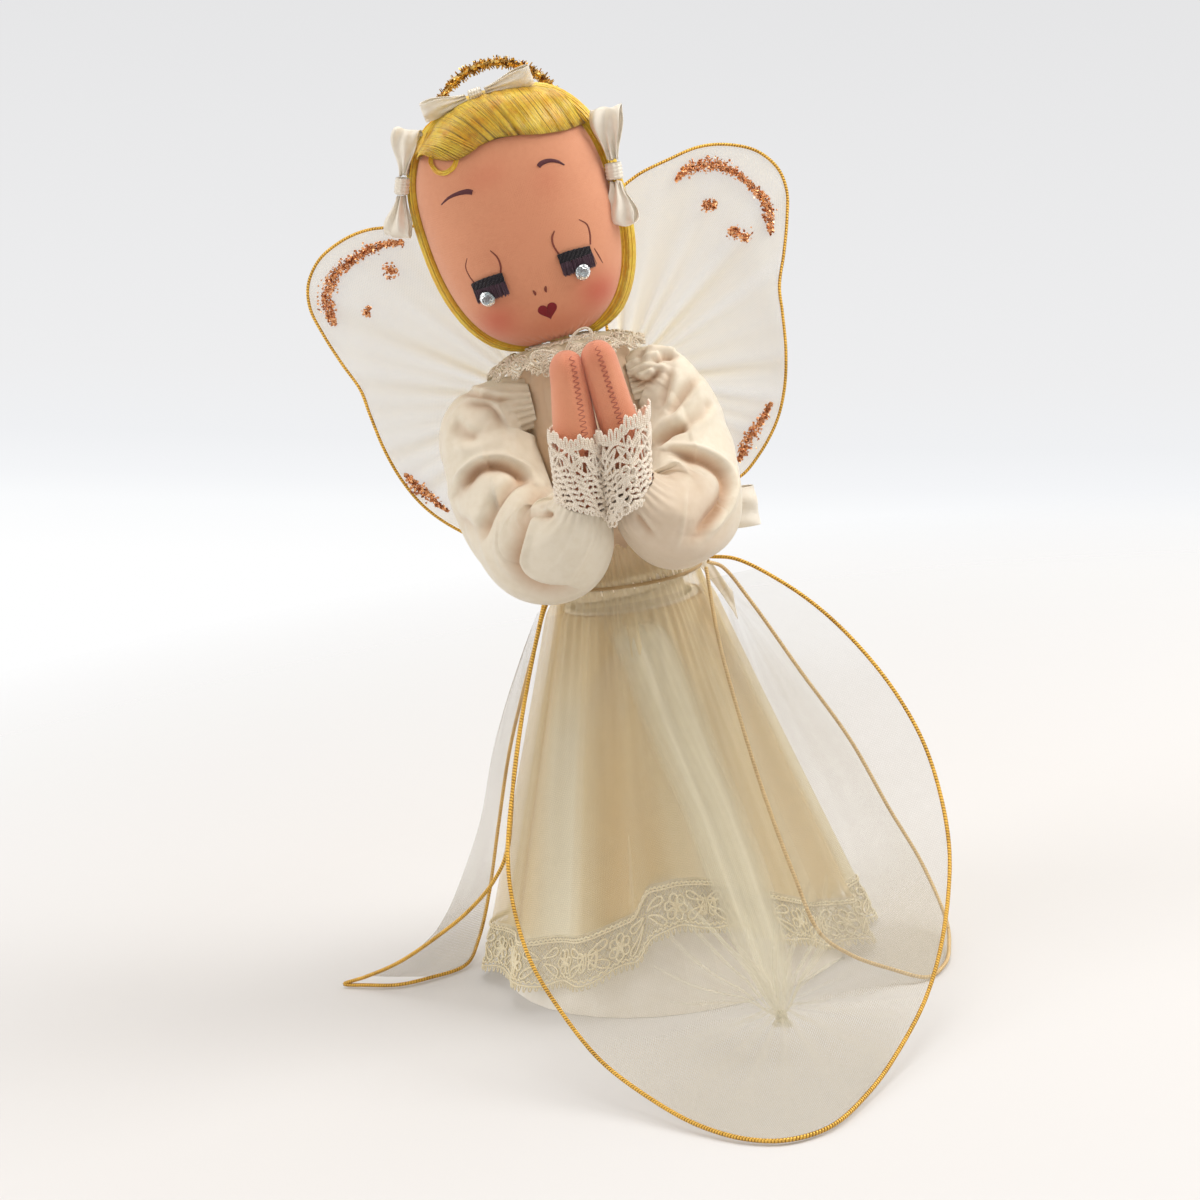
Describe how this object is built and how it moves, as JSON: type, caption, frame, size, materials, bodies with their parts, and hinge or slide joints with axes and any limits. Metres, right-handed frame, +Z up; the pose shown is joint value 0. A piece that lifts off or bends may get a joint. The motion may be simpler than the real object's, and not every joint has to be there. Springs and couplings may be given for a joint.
{
  "type": "angel tree topper",
  "caption": "Cloth angel tree topper on a card cone, with gold wire-edged sheer wings and skirt petals, tinsel halo, praying hands, lace trims and golden hair.",
  "frame": {"origin": "centre of the cone's open mouth, level with its rim", "axes": "+Z up along the cone's axis, -Y towards the doll's front, +X towards the viewer's right"},
  "size_m": [0.1568, 0.1789, 0.2346],
  "materials": {
    "card": "plain off-white card",
    "lining": "tan woven lining",
    "ivory_tulle": "fine ivory tulle in soft folds",
    "ivory_lace": "ivory cotton lace with picot edge",
    "stuffing": "firmly stuffed cotton",
    "ivory_satin": "soft satin sheen",
    "wood_peg": "plain dowel",
    "white_ribbon": "narrow white satin ribbon",
    "gold_wrap": "wire wrapped in antique gold thread",
    "gold_tinsel": "wire wound with fine gold tinsel",
    "skin_stockinette": "peach knitted stockinette with blush",
    "golden_floss": "combed golden yellow floss",
    "black_felt": "black felt strip with a fringe",
    "rhinestone": "clear faceted foil-backed stone",
    "dark_red_paint": "dark red dab of paint",
    "sheer_nylon": "double layer of sheer white nylon"
  },
  "bodies": {
    "doll": {"cone_core": "card", "underskirt": "lining", "tulle_skirt": "ivory_tulle", "hem_lace": "ivory_lace", "hip_plug": "stuffing", "torso": "stuffing", "bodice": "ivory_satin", "waistband": "ivory_satin", "neck_post": "wood_peg", "collar_lace": "ivory_lace", "collar_bow": "white_ribbon", "back_bow": "white_ribbon", "wing_binding": "white_ribbon", "waist_tie": "gold_wrap", "left_arm": "skin_stockinette", "left_sleeve": "ivory_satin", "left_cuff": "ivory_lace", "right_arm": "skin_stockinette", "right_sleeve": "ivory_satin", "right_cuff": "ivory_lace"},
    "head": {"head_core": "stuffing", "face_mask": "skin_stockinette", "hair_bangs": "golden_floss", "hair_cap": "golden_floss", "crown_bow": "white_ribbon", "halo_ring": "gold_tinsel", "halo_stem": "gold_wrap", "mouth_patch": "dark_red_paint", "left_side_hair": "golden_floss", "left_lash": "black_felt", "left_rhinestone": "rhinestone", "left_bow": "white_ribbon", "right_side_hair": "golden_floss", "right_lash": "black_felt", "right_rhinestone": "rhinestone", "right_bow": "white_ribbon"},
    "left_wing": {"left_wing_wire": "gold_wrap", "left_wing_net": "sheer_nylon"},
    "right_wing": {"right_wing_wire": "gold_wrap", "right_wing_net": "sheer_nylon"},
    "front_petal": {"front_petal_wire": "gold_wrap", "front_petal_net": "sheer_nylon", "front_petal_tail": "ivory_tulle"},
    "left_petal": {"left_petal_wire": "gold_wrap", "left_petal_net": "sheer_nylon"},
    "right_petal": {"right_petal_wire": "gold_wrap", "right_petal_net": "sheer_nylon"}
  },
  "joints": [
    {"name": "head_turn", "type": "hinge", "parent": "doll", "child": "head", "pos_m": [-0.00734, 0, 0.15757], "axis": [-0.1616, 0, 0.9869], "range_deg": [-15, 15]},
    {"name": "left_wing_fold", "type": "hinge", "parent": "doll", "child": "left_wing", "pos_m": [-0.01416, 0.018, 0.14486], "axis": [0.0958, 0, -0.9954], "range_deg": [-5, 35]},
    {"name": "right_wing_fold", "type": "hinge", "parent": "doll", "child": "right_wing", "pos_m": [0.00496, 0.018, 0.1467], "axis": [-0.0958, 0, 0.9954], "range_deg": [-5, 35]},
    {"name": "front_petal_lift", "type": "hinge", "parent": "doll", "child": "front_petal", "pos_m": [0.0025, -0.0205, 0.1015], "axis": [-0.9925, -0.1219, 0], "range_deg": [0, 20]},
    {"name": "left_petal_lift", "type": "hinge", "parent": "doll", "child": "left_petal", "pos_m": [-0.0209, 0, 0.101], "axis": [0, 1, 0], "range_deg": [0, 15]},
    {"name": "right_petal_lift", "type": "hinge", "parent": "doll", "child": "right_petal", "pos_m": [0.0203, -0.0027, 0.101], "axis": [0.1736, -0.9848, 0], "range_deg": [0, 10]}
  ]
}
